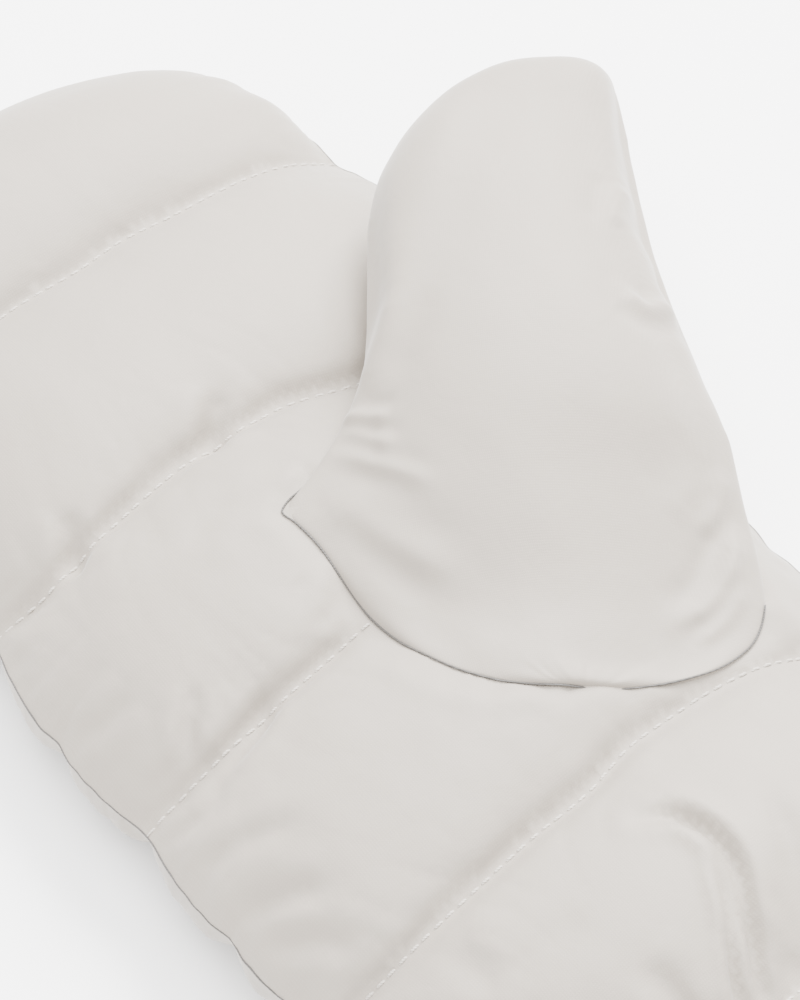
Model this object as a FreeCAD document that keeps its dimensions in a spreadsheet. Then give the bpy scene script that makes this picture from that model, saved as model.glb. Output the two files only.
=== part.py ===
"""A right-hand quilted ski mitten, lying on the back of the hand with the palm up.

Frame: +Y towards the fingertips, +X towards the thumb side, +Z up out of the palm.
The origin is on the surface that the mitten rests on, under the third quilt line.
Every layer is a loft through elliptical sections, cut into the panels and channels
that a maker would cut: outer cloth, channel fill, lining, elastic, binding and threads.
"""

import FreeCAD, Part
import os
import re
import sys

from FreeCAD import Placement, Rotation, Vector

# Driving dimensions in millimetres, and the thumb's two angles in degrees.
SIZES = {
    # lengths along the mitten
    "pitch": 45,  # from one quilt line to the next
    "tip_reach": 42,  # fingertip channel, from the first quilt line to the end
    "wrist_reach": 90,  # from the third quilt line to the elastic
    "elastic_width": 10,
    "cuff_reach": 160,  # from the third quilt line to the end of the cuff
    # sections of the hand
    "seam_height": 18,  # side seams above the resting surface
    "half_width": 57,
    "puff_half_width": 58.5,
    "line_rise": 15.5,  # palm above the side seams, at a quilt line
    "puff_rise": 24,  # palm above the side seams, mid-channel
    "line_drop": 18.6,  # back below the side seams, at a quilt line, before it flattens
    "puff_drop": 21,  # the same, mid-channel
    # wrist and cuff
    "wrist_half_width": 40,
    "wrist_rise": 12.5,
    "cuff_half_width": 60,
    "cuff_rise": 25,
    "cuff_drop": 21.5,
    # layers
    "cloth": 0.8,  # outer cloth with its backing
    "play": 0.2,  # between two layers or two panels
    "lining": 1.0,
    "elastic_thick": 1.4,
    "cavity_half_width": 50,  # outside of the lining
    "cavity_rise": 13.2,
    "cavity_drop": 11.7,
    "binding_width": 5,
    # thumb, in its own frame: along the thumb, across it, and up
    "thumb_root_x": 16,
    "thumb_root_y": -11,
    "thumb_root_z": 40,
    "thumb_splay": 36,  # away from the fingers
    "thumb_pitch": 6,  # above level
    "thumb_reach": 101,
    "thumb_half_width": 28,
    "thumb_rise": 19.5,
    "thumb_drop": 12,
    "thumb_hinge": 14,  # fold of the thumb, from its root
    "thumb_fold_radius": 21.5,
    "thumb_cavity_half_width": 18.5,
    "thumb_cavity_rise": 11.5,
    "thumb_cavity_drop": 8.5,
    "thumb_clear": 0.8,  # between the thumb and the palm
    "gusset_depth": 9,  # sides of the thumb's root, below the thumb's axis
    # folds
    "fold_gap": 0.6,
    "cuff_fold": 96,  # fold of the wrist, from the third quilt line
    "cuff_fold_radius": 16,
    # small pieces
    "thread": 0.3,
    "thread_width": 0.6,
}
BIG = 400  # a box that reaches past everything

doc = FreeCAD.newDocument("ski_mitten")
sheet = doc.addObject("Spreadsheet::Sheet", "Sizes")
for row, (alias, value) in enumerate(SIZES.items(), 1):
    sheet.set(f"A{row}", alias)
    sheet.set(f"B{row}", str(value))
    sheet.setAlias(f"B{row}", alias)
doc.recompute()

parts = []


def bound(text):
    """An expression on the sheet's cells, from text that uses their bare names."""
    return re.sub(r"[a-z_]+", lambda m: f"Sizes.{m[0]}" if m[0] in SIZES else m[0], text)


def value(name):
    """The number in one of the sheet's cells, for pieces that read the sheet."""
    return float(sheet.get(name))


def tie(thing, **expressions):
    """Binds properties of a document object to the sheet."""
    for name, text in expressions.items():
        thing.setExpression(name.replace("__", "."), bound(text))
    return thing


def section(name, along, half_width, half_height, across="0", up="0"):
    """One elliptical section, upright, at a place along +Y."""
    ring = doc.addObject("Part::Ellipse", name)
    ring.Placement = Placement(Vector(), Rotation(Vector(1, 0, 0), 90))
    return tie(
        ring,
        MajorRadius=half_width,
        MinorRadius=half_height,
        Placement__Base__x=across,
        Placement__Base__y=along,
        Placement__Base__z=up,
    )


def tube(name, stations, inset="0", up="0"):
    """A solid lofted through sections, each (along, half width, half height[, across])."""
    rings = []
    for i, station in enumerate(stations):
        along, wide, high = station[:3]
        across = station[3] if len(station) > 3 else "0"
        rings.append(
            section(f"{name}_{i}", along, f"{wide} - ({inset})", f"{high} - ({inset})", across, up)
        )
    solid = doc.addObject("Part::Loft", name)
    solid.Sections = rings
    solid.Solid = True
    solid.Ruled = False
    return solid


def box(name, low, high):
    """A box between two corners, each three expressions."""
    block = doc.addObject("Part::Box", name)
    tie(block, Placement__Base__x=low[0], Placement__Base__y=low[1], Placement__Base__z=low[2])
    tie(
        block,
        Length=f"({high[0]}) - ({low[0]})",
        Width=f"({high[1]}) - ({low[1]})",
        Height=f"({high[2]}) - ({low[2]})",
    )
    return block


def cut(name, base, *tools):
    """base without the tools."""
    for i, tool in enumerate(tools):
        whole = doc.addObject("Part::Cut", name if i == len(tools) - 1 else f"{name}_cut{i}")
        whole.Base = base
        whole.Tool = tool
        base = whole
    return base


def common(name, *shapes):
    """What all the shapes share."""
    shared = doc.addObject("Part::MultiCommon", name)
    shared.Shapes = list(shapes)
    return shared


def piece(label, shape):
    """Names a finished sub-part."""
    shape.Label = label
    parts.append(shape)
    return shape


# ---- blocks that split the layers into panels and channels

PALM, BACK = "palm", "back"
LOW, HIGH = f"-{BIG}", f"{BIG}"


def side_block(name, side, low_y, high_y, floor="0"):
    """The space of one panel, palm or back, between two places along the mitten."""
    if side == PALM:
        bottom, top = "seam_height + play / 2", HIGH
    else:
        bottom, top = floor, "seam_height - play / 2"
    return box(name, (LOW, low_y, bottom), (HIGH, high_y, top))


TIP_SHARES = [  # of the reach, the half width and the rise, past the first quilt line
    (0.2, 0.945, 0.75),
    (0.4, 0.895, 0.81),
    (0.6, 0.8, 0.76),
    (0.76, 0.66, 0.64),
    (0.88, 0.49, 0.48),
    (0.95, 0.33, 0.33),
    (0.985, 0.2, 0.2),
    (1, 0.12, 0.12),
]


def hand_stations(side):
    """Outer cloth of the hand: narrow at each quilt line, full between two lines."""
    line, puff = ("line_rise", "puff_rise") if side == PALM else ("line_drop", "puff_drop")
    return [
        ("-wrist_reach - elastic_width - 1", "wrist_half_width", "wrist_rise"),
        ("-wrist_reach - 0.5 * elastic_width", "wrist_half_width", "wrist_rise"),
        ("-wrist_reach", "wrist_half_width", "wrist_rise"),
        ("-wrist_reach + 4", "wrist_half_width * 1.05", "wrist_rise * 1.1"),
        ("-1.5 * pitch", "half_width * 0.91", f"{puff} * 0.92"),
        ("-pitch", "half_width * 0.98", line),
        ("-0.5 * pitch", "puff_half_width", puff),
        ("0", "half_width", line),
        ("0.5 * pitch", "puff_half_width", puff),
        ("pitch", "half_width", line),
        ("1.5 * pitch", "puff_half_width", f"{puff} * 0.98"),
        ("2 * pitch", "half_width * 0.955", f"{line} * 0.95"),
    ] + [
        (f"2 * pitch + {t} * tip_reach", f"half_width * {w}", f"{puff} * {h}")
        for t, w, h in TIP_SHARES
    ]


def cavity_stations(side):
    """Outside of the hand's lining, a smooth bag."""
    high = "cavity_rise" if side == PALM else "cavity_drop"
    inner = "wrist_half_width - cloth - 2 * play - elastic_thick"
    neck = "wrist_rise - cloth - 2 * play - elastic_thick"
    return [
        ("-wrist_reach - elastic_width - 1", inner, neck),
        ("-wrist_reach", inner, neck),
        ("-1.5 * pitch", "cavity_half_width * 0.9", f"{high} * 0.95"),
        ("-pitch", "cavity_half_width * 0.98", high),
        ("pitch", "cavity_half_width", high),
        ("2 * pitch", "cavity_half_width * 0.96", f"{high} * 0.93"),
        ("2 * pitch + 0.38 * tip_reach", "cavity_half_width * 0.82", f"{high} * 0.85"),
        ("2 * pitch + 0.64 * tip_reach", "cavity_half_width * 0.6", f"{high} * 0.66"),
        ("2 * pitch + 0.8 * tip_reach", "cavity_half_width * 0.3", f"{high} * 0.36"),
    ]


def cuff_stations(side):
    """Outer cloth of the cuff, which flares from the wrist and closes a little at the hem."""
    high = "cuff_rise" if side == PALM else "cuff_drop"
    return [
        ("-cuff_fold + 1", "cuff_half_width * 0.75", f"{high} * 0.7"),
        ("-cuff_fold - 10", "cuff_half_width * 0.9", f"{high} * 0.88"),
        ("-0.8 * cuff_reach", "cuff_half_width", high),
        ("-0.94 * cuff_reach", "cuff_half_width * 0.99", f"{high} * 0.88"),
        ("-cuff_reach - 1", "cuff_half_width * 0.97", f"{high} * 0.75"),
    ]


def cuff_cavity_stations(side):
    """Outside of the cuff's lining."""
    high = "cavity_rise" if side == PALM else "cavity_drop"
    return [
        ("-cuff_fold + 1", "cavity_half_width * 0.84", f"{high} * 1.1"),
        ("-cuff_fold - 16", "cavity_half_width * 0.93", f"{high} * 1.12"),
        ("-0.8 * cuff_reach", "cavity_half_width * 1.03", f"{high} * 1.17"),
        ("-cuff_reach - 2", "cavity_half_width * 1.03", f"{high} * 1.1"),
    ]


def thumb_stations(side):
    """Outer cloth of the thumb, in its own frame, from the root to the tip."""
    high = "thumb_rise" if side == PALM else "thumb_drop"
    shares = [
        (-0.22, 0.2, 0.2, "0"),
        (-0.18, 0.56, 0.42, "0"),
        (-0.08, 0.93, 0.76, "0"),
        (0.06, 1.05, 0.96, "0"),
        (0.2, 1, 1, "0"),
        (0.38, 0.9, 0.98, "-1"),
        (0.54, 0.84, 0.93, "-2.5"),
        (0.74, 0.76, 0.86, "-2.5"),
        (0.87, 0.64, 0.72, "-0.5"),
        (0.96, 0.43, 0.49, "2.5"),
        (1, 0.18, 0.2, "4.5"),
    ]
    return [
        (f"{a} * thumb_reach", f"thumb_half_width * {w}", f"{high} * {h}", across)
        for a, w, h, across in shares
    ]


def thumb_cavity_stations(side):
    """Outside of the thumb's lining."""
    high = "thumb_cavity_rise" if side == PALM else "thumb_cavity_drop"
    shares = [
        (-0.13, 0.32, 0.4, "0"),
        (-0.06, 0.8, 0.8, "0"),
        (0.06, 1.02, 1, "0"),
        (0.2, 1, 1, "0"),
        (0.58, 0.84, 0.92, "-2"),
        (0.78, 0.72, 0.8, "-2"),
        (0.87, 0.46, 0.55, "-1"),
        (0.91, 0.2, 0.26, "0"),
    ]
    return [
        (f"{a} * thumb_reach", f"thumb_cavity_half_width * {w}", f"{high} * {h}", across)
        for a, w, h, across in shares
    ]


# ---- layers: name, inset from the outer cloth or from the outside of the lining

CLOTH_LAYERS = {
    "thread_top": "-thread - 0.05",
    "thread_under": "-0.05",
    "outside": "0",
    "inside": "cloth",
    "fill_top": "cloth + play",
}
LINING_LAYERS = {"fill_under": "-play", "lining_top": "0", "lining_under": "lining"}


def layers(name, cloth_stations, lining_stations, up="0"):
    """Every surface of one bag, as solids, from the outside in."""
    made = {k: tube(f"{name}_{k}", cloth_stations, inset, up) for k, inset in CLOTH_LAYERS.items()}
    for k, inset in LINING_LAYERS.items():
        made[k] = tube(f"{name}_{k}", lining_stations, inset, up)
    return made


def tie_thumb(thing):
    """Stands a piece that was made along +Y on the thumb's own axis."""
    turn = Rotation(Vector(0, 0, 1), -value("thumb_splay"))
    tilt = Rotation(Vector(1, 0, 0), value("thumb_pitch"))
    thing.Placement = Placement(Vector(), turn.multiply(tilt))
    return tie(
        thing,
        Placement__Base__x="thumb_root_x",
        Placement__Base__y="thumb_root_y",
        Placement__Base__z="thumb_root_z",
    )


hand = {
    side: layers(f"hand_{side}", hand_stations(side), cavity_stations(side), "seam_height")
    for side in (PALM, BACK)
}
cuff = {
    side: layers(f"cuff_{side}", cuff_stations(side), cuff_cavity_stations(side), "seam_height")
    for side in (PALM, BACK)
}
thumb = {
    side: layers(f"thumb_{side}", thumb_stations(side), thumb_cavity_stations(side))
    for side in (PALM, BACK)
}
lining_room = tube("lining_room", cavity_stations(PALM), "-play", "seam_height")

# The space that the palm leaves for the thumb.
room_over = box("room_over", (LOW, LOW, "-gusset_depth - play"), (HIGH, HIGH, HIGH))
room_upper = tube("room_upper", thumb_stations(PALM), "-thumb_clear")
thumb_room = [
    tie_thumb(common("room_top", room_upper, room_over)),
    tie_thumb(tube("room_lower", thumb_stations(BACK), "-0.7 * thumb_clear")),
]

# The way from the hand's lining into the thumb, cut through the palm side of the lining.
thumb_way = doc.addObject("Part::Prism", "thumb_way")
thumb_way.Polygon = 24
thumb_way.Placement = Placement(Vector(), Rotation())
tie(
    thumb_way,
    Circumradius="thumb_cavity_half_width - 1",
    Height="2 * cavity_rise",
    Placement__Base__x="thumb_root_x + 2",
    Placement__Base__y="thumb_root_y + 8",
    Placement__Base__z="seam_height",
)


def panel(label, side, surfaces, outer, inner, low_y, high_y, floor, *tools):
    """One panel of one layer: outer without inner, on one side, between two places."""
    block = side_block(f"{label}_block", side, low_y, high_y, floor)
    inner_floor = box(
        f"{label}_floor",
        (LOW, LOW, f"{floor} + lining" if inner == "lining_under" else f"{floor} + cloth"),
        (HIGH, HIGH, HIGH),
    )
    hollow = common(f"{label}_hollow", surfaces[inner], inner_floor)
    whole = common(f"{label}_whole", surfaces[outer], block)
    return piece(label, cut(f"{label}_panel", whole, hollow, *tools))


WRIST = "-wrist_reach - elastic_width"
SPLIT_LOW, SPLIT_HIGH = "2 * pitch - fold_gap / 2", "2 * pitch + fold_gap / 2"
TIP_END = "2 * pitch + tip_reach + 1"
FILL_FLOOR = "cloth + play"
CHANNELS = {  # name: from, to
    "finger": ("pitch", SPLIT_LOW),
    "knuckle": ("0", "pitch"),
    "palm": ("-pitch", "0"),
    "wrist": ("-wrist_reach + 5", "-pitch"),
}


def make_hand():
    """Panels, channels and lining from the elastic to the first quilt line."""
    for side in (PALM, BACK):
        s = hand[side]
        room = thumb_room if side == PALM else []
        panel(f"{side}_shell", side, s, "outside", "inside", WRIST, SPLIT_LOW, "0", *room)
        for name, (low_y, high_y) in CHANNELS.items():
            label = f"{side}_fill_{name}"
            low_y, high_y = f"{low_y} + play", f"{high_y} - play"
            panel(label, side, s, "fill_top", "fill_under", low_y, high_y, FILL_FLOOR, *room)
        way = [thumb_way] if side == PALM else []
        args = (WRIST, SPLIT_LOW, "0", *way)
        panel(f"{side}_lining", side, s, "lining_top", "lining_under", *args)


def make_fingertip():
    """The closed end of the mitten, past the first quilt line."""
    for side in (PALM, BACK):
        s = hand[side]
        args = (SPLIT_HIGH, TIP_END)
        panel(f"tip_{side}_shell", side, s, "outside", "inside", *args, "0")
        fill_args = (f"{SPLIT_HIGH} + play", TIP_END, FILL_FLOOR)
        panel(f"tip_{side}_fill", side, s, "fill_top", "fill_under", *fill_args)
        panel(f"tip_{side}_lining", side, s, "lining_top", "lining_under", *args, "0")


def make_elastic():
    """The flat elastic that gathers the wrist, between the outer cloth and the lining."""
    low_y, high_y = f"{WRIST} + play", "-wrist_reach - play"
    outer = ("wrist_half_width - cloth - play", "wrist_rise - cloth - play")
    inner = tuple(f"{size} - elastic_thick" for size in outer)
    rings = []
    for name, (wide, high), extra in (("outer", outer, "0"), ("inner", inner, "1")):
        ends = [(f"{low_y} - {extra}", wide, high), (f"{high_y} + {extra}", wide, high)]
        rings.append(tube(f"elastic_{name}", ends, "0", "seam_height"))
    piece("wrist_elastic", cut("elastic_band", *rings))


def make_quilt_threads():
    """The row of thread in each quilt line, palm and back, as one node for each line."""
    rows = {"tip": "2 * pitch - fold_gap / 2 - thread_width", "finger": "pitch", "palm": "0"}
    rows["wrist"] = "-pitch"
    for name, at in rows.items():
        halves = []
        for side in (PALM, BACK):
            s = hand[side]
            ring = cut(f"thread_{name}_{side}_ring", s["thread_top"], s["thread_under"])
            ends = (f"{at} - thread_width / 2", f"{at} + thread_width / 2")
            block = side_block(f"thread_{name}_{side}_block", side, *ends)
            halves.append(common(f"thread_{name}_{side}", ring, block))
        both = doc.addObject("Part::Compound", f"thread_{name}")
        both.Links = halves
        if name in ("palm", "finger"):
            both = cut(f"thread_{name}_trim", both, *thumb_room)
        piece(f"quilt_thread_{name}", both)


def fold_cylinder(name, radius):
    """A long cylinder across the mitten, which a fold turns about."""
    rod = doc.addObject("Part::Cylinder", name)
    rod.Placement = Placement(Vector(), Rotation(Vector(0, 1, 0), 90))
    return tie(rod, Radius=radius, Height=f"{BIG}", Placement__Base__x=f"-{BIG} / 2")


def make_cuff():
    """The cuff: it starts outside the fold cylinder, so that it turns over the wrist."""
    fold = fold_cylinder("cuff_fold", "cuff_fold_radius")
    tie(fold, Placement__Base__y="-cuff_fold", Placement__Base__z="seam_height")
    hem, start = "-cuff_reach", "-cuff_fold - 1"
    for side in (PALM, BACK):
        s = cuff[side]
        panel(f"cuff_{side}_shell", side, s, "outside", "inside", hem, start, "0", fold)
        fill_args = (f"{hem} + 3", f"{start} - 1", FILL_FLOOR, fold)
        panel(f"cuff_{side}_fill", side, s, "fill_top", "fill_under", *fill_args)
        lining_args = (hem, "-cuff_fold - 12", "0", fold)
        panel(f"cuff_{side}_lining", side, s, "lining_top", "lining_under", *lining_args)

    # The gathered cloth past the elastic, inside the fold cylinder, stays with the hand.
    inner = fold_cylinder("gather_fold", "cuff_fold_radius - fold_gap")
    tie(inner, Placement__Base__y="-cuff_fold", Placement__Base__z="seam_height")
    for side in (PALM, BACK):
        s = cuff[side]
        block = side_block(f"gather_{side}_block", side, f"-{BIG}", f"{WRIST} - play")
        ring = cut(f"gather_{side}_ring", s["outside"], s["inside"])
        piece(f"wrist_gather_{side}", common(f"gather_{side}", ring, block, inner))


def make_hem():
    """The binding that closes the cuff's layers at the hem."""
    outer = ("cuff_half_width * 0.98", "cuff_drop * 0.8")
    inner = ("cavity_half_width * 1.02", "cavity_drop")
    rings = []
    for name, (wide, high), extra in (("outer", outer, "0"), ("inner", inner, "1")):
        low_y = f"-cuff_reach - play - binding_width - {extra}"
        ends = [(low_y, wide, high), (f"-cuff_reach - play + {extra}", wide, high)]
        rings.append(tube(f"hem_{name}", ends, "0", "seam_height"))
    piece("hem_binding", cut("hem_ring", *rings))


def thumb_piece(label, side, outer, inner, keep, *tools):
    """One layer of the thumb, kept inside a block, and stood on the thumb's axis."""
    ring = cut(f"{label}_ring", thumb[side][outer], thumb[side][inner])
    local = tie_thumb(common(f"{label}_local", ring, keep))
    return piece(label, cut(f"{label}_panel", local, *tools) if tools else local)


THUMB_LAYERS = {
    "shell": ("outside", "inside"),
    "fill": ("fill_top", "fill_under"),
    "lining": ("lining_top", "lining_under"),
}


def make_thumb():
    """The thumb past its fold, and its root, which is sewn into the palm."""
    wide = fold_cylinder("thumb_fold_wide", "thumb_fold_radius + play * 2")
    tight = fold_cylinder("thumb_fold_tight", "thumb_fold_radius")
    for rod in (wide, tight):
        tie(rod, Placement__Base__y="thumb_hinge")
    halves = {PALM: ("front", "play / 2", HIGH), BACK: ("back", LOW, "-play / 2")}
    for side, (name, low_z, high_z) in halves.items():
        ahead = box(f"ahead_{name}", (LOW, "thumb_hinge + 2", low_z), (HIGH, HIGH, high_z))
        keep = cut(f"thumb_space_{name}", ahead, wide)
        for layer, surfaces in THUMB_LAYERS.items():
            thumb_piece(f"thumb_{name}_{layer}", side, *surfaces, keep)
    behind = box("behind_fold", (LOW, LOW, LOW), (HIGH, "thumb_hinge", HIGH))
    root = doc.addObject("Part::MultiFuse", "root_space")
    root.Shapes = [behind, tight]
    over = box("over_palm", (LOW, LOW, "-gusset_depth"), (HIGH, HIGH, HIGH))
    root_over = common("root_over", root, over)
    for layer, surfaces in THUMB_LAYERS.items():
        thumb_piece(f"gusset_{layer}", PALM, *surfaces, root_over, lining_room)


def save():
    """Checks every object, then writes one STEP file for each sub-part."""
    doc.recompute()
    failed = [o.Name for o in doc.Objects if {"Invalid", "Error"} & set(o.State)]
    if failed:
        sys.exit(f"these objects failed: {failed}")
    for part in parts:
        if part.Shape.isNull() or not part.Shape.isValid() or not part.Shape.Solids:
            sys.exit(f"{part.Label} has no valid solid")
    os.makedirs("parts", exist_ok=True)
    for part in parts:
        part.Shape.exportStep(f"parts/{part.Label}.step")
        print(f"{part.Label}: {len(part.Shape.Solids)} solids, {part.Shape.Volume:.0f} mm3")


make_hand()
make_fingertip()
make_elastic()
make_quilt_threads()
make_cuff()
make_hem()
make_thumb()
save()
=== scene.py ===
"""Looks of a right-hand, channel-quilted ski mitten that lies on its back, palm up.

Lengths are in millimetres until a mesh is made, and the frame is the CAD model's: +Y towards
the fingertips, +X towards the thumb side, +Z up. The outer cloth starts as two flat panels,
palm and back, sewn along the sides. A cloth simulation blows it up between its quilt lines.
The thumb is a third panel, set into the palm.
"""

import math

import bpy
import numpy as np
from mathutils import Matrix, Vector
from mathutils.geometry import delaunay_2d_cdt


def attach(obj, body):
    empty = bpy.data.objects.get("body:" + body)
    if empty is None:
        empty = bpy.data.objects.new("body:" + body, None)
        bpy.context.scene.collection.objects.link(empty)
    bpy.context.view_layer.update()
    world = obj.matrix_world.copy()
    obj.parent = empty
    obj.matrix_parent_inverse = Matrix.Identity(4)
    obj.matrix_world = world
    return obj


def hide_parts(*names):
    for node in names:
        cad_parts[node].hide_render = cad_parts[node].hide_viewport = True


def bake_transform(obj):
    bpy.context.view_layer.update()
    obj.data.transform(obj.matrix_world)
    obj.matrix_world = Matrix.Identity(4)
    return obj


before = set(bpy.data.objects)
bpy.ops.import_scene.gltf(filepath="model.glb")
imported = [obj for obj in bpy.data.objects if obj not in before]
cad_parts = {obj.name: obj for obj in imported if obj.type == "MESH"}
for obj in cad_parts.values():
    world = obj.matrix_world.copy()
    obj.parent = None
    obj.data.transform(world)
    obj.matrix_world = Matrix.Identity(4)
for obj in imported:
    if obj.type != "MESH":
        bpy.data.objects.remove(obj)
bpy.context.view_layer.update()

MM = 0.001
rng = np.random.default_rng(11)

# ---- the pattern

TIP, TIP_START, HEM = 137.0, 90.0, -159.0
SEAM_Z = 18.0
PALM_LINES = [90.0, 45.0, 0.0, -45.0]
BACK_LINES = [112.0, 90.0, 67.5, 45.0, 22.5, 0.0, -22.5, -45.0, -66.0]
ELASTIC = [-88.0, -98.0]
CUFF_FROM = -93.0  # the cloth of the hand ends here and that of the cuff starts
BACK_KIND = 20  # added to the number of each line of the back
CELL = 2.1  # length of an edge in the cloth mesh

WIDTH_AT = [-165, -150, -132, -118, -108, -98, -88, -80, -68, -56, -45, -22, 0, 22, 45, 67, 80, 90]
HALF_WIDTH = [57, 60, 60, 57, 50, 41, 41, 45.5, 51.5, 54.8, 56, 58, 57, 58.2, 56.6, 57.8, 56.8, 54.6]


def smooth_table(xs, ys, x):
    """A smooth curve through a table of values."""
    xs, ys = np.asarray(xs, float), np.asarray(ys, float)
    slope = np.gradient(ys, xs)
    x = np.clip(x, xs[0], xs[-1])
    i = np.clip(np.searchsorted(xs, x) - 1, 0, len(xs) - 2)
    step = xs[i + 1] - xs[i]
    t = (x - xs[i]) / step
    a, b = slope[i] * step, slope[i + 1] * step
    rise = ys[i + 1] - ys[i]
    return ys[i] + t * (a + t * (3 * rise - 2 * a - b + t * (a + b - 2 * rise)))


def run_along(line):
    """How far along a polyline each of its points is."""
    return np.concatenate([[0], np.cumsum(np.linalg.norm(np.diff(line, axis=0), axis=1))])


def unit(vectors):
    """The same directions, each of length 1."""
    return vectors / np.maximum(np.linalg.norm(vectors, axis=1, keepdims=True), 1e-6)


def ring_points(ring, turns):
    """The numbers of the points in one ring of a tube."""
    return tuple(range(ring * turns, (ring + 1) * turns))


def tube(rings, turns, capped=False):
    """Quads between rings of points that follow one another, and a face at each end if capped."""
    faces = []
    for i in range(rings - 1):
        a, b = i * turns, (i + 1) * turns
        faces += [(a + j, a + (j + 1) % turns, b + (j + 1) % turns, b + j) for j in range(turns)]
    if capped:
        faces += [ring_points(0, turns)[::-1], ring_points(rings - 1, turns)]
    return faces


def half_width(y):
    """Half the width of the flat mitten at a place along it, pinched at each quilt line."""
    y = np.asarray(y, float)
    body = smooth_table(WIDTH_AT, HALF_WIDTH, np.minimum(y, TIP_START))
    end = np.clip((y - TIP_START) / (TIP - TIP_START), 0, 1)
    near = np.min(np.abs(y[..., None] - np.array(BACK_LINES[1:])), -1)
    return body * (1 - end**2.25) ** (1 / 2.25) - 1.3 * np.exp(-near / 3.5)


def side_points():
    """Points up one side, from the hem to the fingertip, one at each end of a quilt line."""
    y = np.concatenate([np.linspace(HEM, 120, 2000), TIP - (TIP - 120) * np.linspace(1, 0, 800)[1:] ** 2])
    x = half_width(y)
    run = np.concatenate([[0], np.cumsum(np.hypot(np.diff(x), np.diff(y)))])
    keys = sorted(set(PALM_LINES + BACK_LINES + ELASTIC)) + [TIP]
    marks = [np.interp(k, y, run) for k in [HEM] + keys]
    out = []
    for a, b in zip(marks[:-1], marks[1:]):
        n = max(1, round((b - a) / CELL))
        out += list(np.linspace(a, b, n, endpoint=False))
    out.append(marks[-1])
    return np.stack([np.interp(out, run, x), np.interp(out, run, y)], 1)


def flat_panel(lines):
    """One panel, with edges along its lines: points, triangles, line numbers, size of its seam."""
    side = side_points()
    right, left = side, (side * [-1, 1])[::-1][1:]
    hem_n = round(2 * half_width(HEM) / CELL)
    hem = np.stack([np.linspace(-side[0, 0], side[0, 0], hem_n + 1)[1:-1], np.full(hem_n - 1, HEM)], 1)
    rim = np.concatenate([right, left, hem])
    points, edges = [rim], [(i, (i + 1) % len(rim)) for i in range(len(rim))]
    kind = [np.zeros(len(rim), int)]
    start = len(rim)
    for number, y in enumerate(lines, 1):
        w = float(half_width(y))
        a = int(np.argmin(np.hypot(rim[:, 0] - w, rim[:, 1] - y)))
        b = int(np.argmin(np.hypot(rim[:, 0] + w, rim[:, 1] - y)))
        n = round(2 * w / (CELL * 0.85))
        x = np.linspace(w, -w, n + 1)[1:-1]
        points.append(np.stack([x, np.full(len(x), y)], 1))
        kind.append(np.full(len(x), number))
        chain = [a] + list(range(start, start + len(x))) + [b]
        edges += list(zip(chain[:-1], chain[1:]))
        start += len(x)
    fixed = np.concatenate(points)
    rows = np.arange(HEM, TIP, CELL * 0.87)
    grid = []
    for i, y in enumerate(rows):
        x = np.arange(-62, 62, CELL) + (CELL / 2 if i % 2 else 0)
        grid.append(np.stack([x, np.full(len(x), y)], 1))
    grid = np.concatenate(grid) + rng.uniform(-0.18, 0.18, (sum(map(len, grid)), 2)) * CELL
    grid = grid[np.abs(grid[:, 0]) < half_width(grid[:, 1]) - 0.3 * CELL]
    far = np.concatenate([
        np.min(np.hypot(part[:, None, 0] - fixed[None, :, 0], part[:, None, 1] - fixed[None, :, 1]), 1)
        for part in np.array_split(grid, 20)
    ])
    grid = grid[far > 0.62 * CELL]
    flat = np.concatenate([fixed, grid])
    kind = np.concatenate(kind + [np.full(len(grid), -1)])
    rim_face = list(range(len(rim)))
    got = delaunay_2d_cdt([Vector(p) for p in flat], edges, [rim_face], 1, 1e-4)
    return flat, [tuple(t) for t in got[2]], kind, len(right) + len(left)


def dome(x, y, steep):
    """1 on the centre line, 0 at the side seam and at the fingertip's seam."""
    wide = half_width(np.minimum(y, TIP_START))
    end = np.clip((y - TIP_START) / (TIP - TIP_START), 0, 1)
    r = (np.abs(x / wide) ** 2.25 + end**2.25) ** (1 / 2.25)
    return (1 - np.clip(r, 0, 1) ** 2.3) ** steep


def bulge(y, lines):
    """0 at each line and 1 midway between two lines."""
    marks = np.array(sorted(lines + ELASTIC + [TIP, HEM]))
    i = np.clip(np.searchsorted(marks, y) - 1, 0, len(marks) - 2)
    t = np.clip((y - marks[i]) / (marks[i + 1] - marks[i]), 0, 1)
    return np.sin(np.pi * t) ** 0.75


HEIGHT_AT = [-160, -150, -130, -114, -98, -88, -78, -62, -45, 0, 45, 90, 115, 137]
PALM_HEIGHT = [19, 22, 23, 19, 11.5, 11.5, 14, 15.5, 15.5, 15.5, 15.5, 14.5, 17, 18]
BACK_HEIGHT = [15, 16, 17, 16, 11.5, 11.5, 13, 15, 15.5, 15.5, 15.5, 14, 13, 13]


def palm_z(x, y):
    """Height of the palm panel before it is blown up."""
    puff = np.interp(y, [-160, -98, -88, -75, -45, 90, 132], [2, 2, 2, 6, 6.5, 6.5, 6.5])
    high = smooth_table(HEIGHT_AT, PALM_HEIGHT, y) + puff * bulge(y, PALM_LINES)
    return SEAM_Z + dome(x, y, np.interp(y, [88, 104], [0.62, 0.46])) * high


def back_z(x, y):
    """Height of the back panel before it is blown up; its middle rests on the table."""
    puff = np.interp(y, [-160, -98, -88, -75, 132], [2, 2, 1, 2.5, 2.5])
    low = dome(x, y, 0.45) * (smooth_table(HEIGHT_AT, BACK_HEIGHT, y) + puff * bulge(y, BACK_LINES))
    return SEAM_Z - low


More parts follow.
